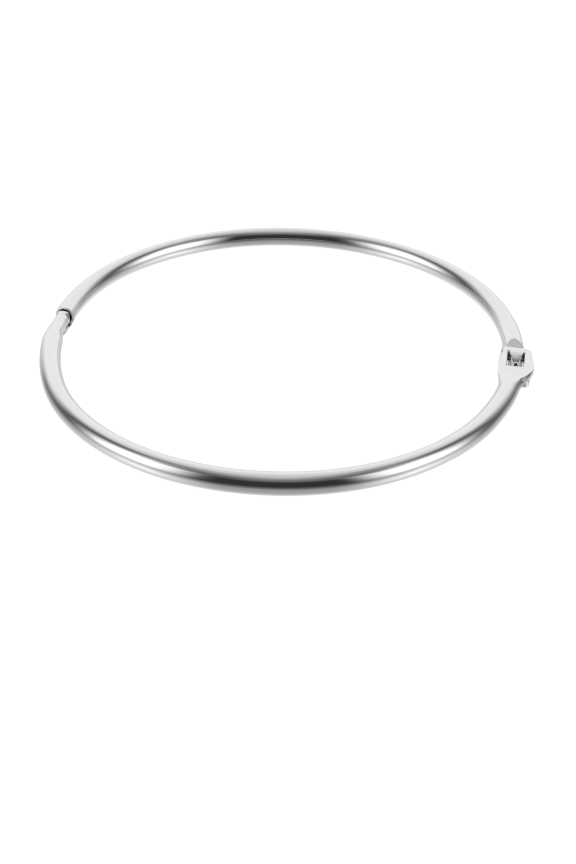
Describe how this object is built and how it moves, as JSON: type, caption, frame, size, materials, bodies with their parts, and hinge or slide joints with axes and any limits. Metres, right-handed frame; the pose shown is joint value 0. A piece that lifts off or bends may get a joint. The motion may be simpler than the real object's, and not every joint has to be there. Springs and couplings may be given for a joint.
{
  "type": "binder ring",
  "caption": "Hinged ring of round metal tube for loose leaves, with a riveted hinge and a clasp of lapped plates whose bent tongues hook together.",
  "frame": {"origin": "centre of the closed ring on its mid-plane", "axes": "+X from the centre to the clasp, +Y to the half that carries the lower clasp plate and the rivet's lip, +Z along the ring's axis, from the lower clasp plate to the upper one"},
  "size_m": [0.0856, 0.0874, 0.0037],
  "materials": {
    "back_half": "bright nickel plate",
    "front_half": "bright nickel plate",
    "hinge_rivet": "bright nickel plate"
  },
  "bodies": {
    "back_half": {"back_half": "back_half"},
    "hinge_rivet": {"hinge_rivet": "hinge_rivet"},
    "front_half": {"front_half": "front_half"}
  },
  "joints": [
    {"name": "ring_swing", "type": "hinge", "parent": "back_half", "child": "hinge_rivet", "pos_m": [-0.03993, -0.0011, 0], "axis": [0, 0, -1], "range_deg": [0, 75]},
    {"name": "latch_lift", "type": "hinge", "parent": "hinge_rivet", "child": "front_half", "pos_m": [-0.03993, -0.0011, 0], "axis": [0, -1, 0], "range_deg": [0, 2.5]}
  ]
}
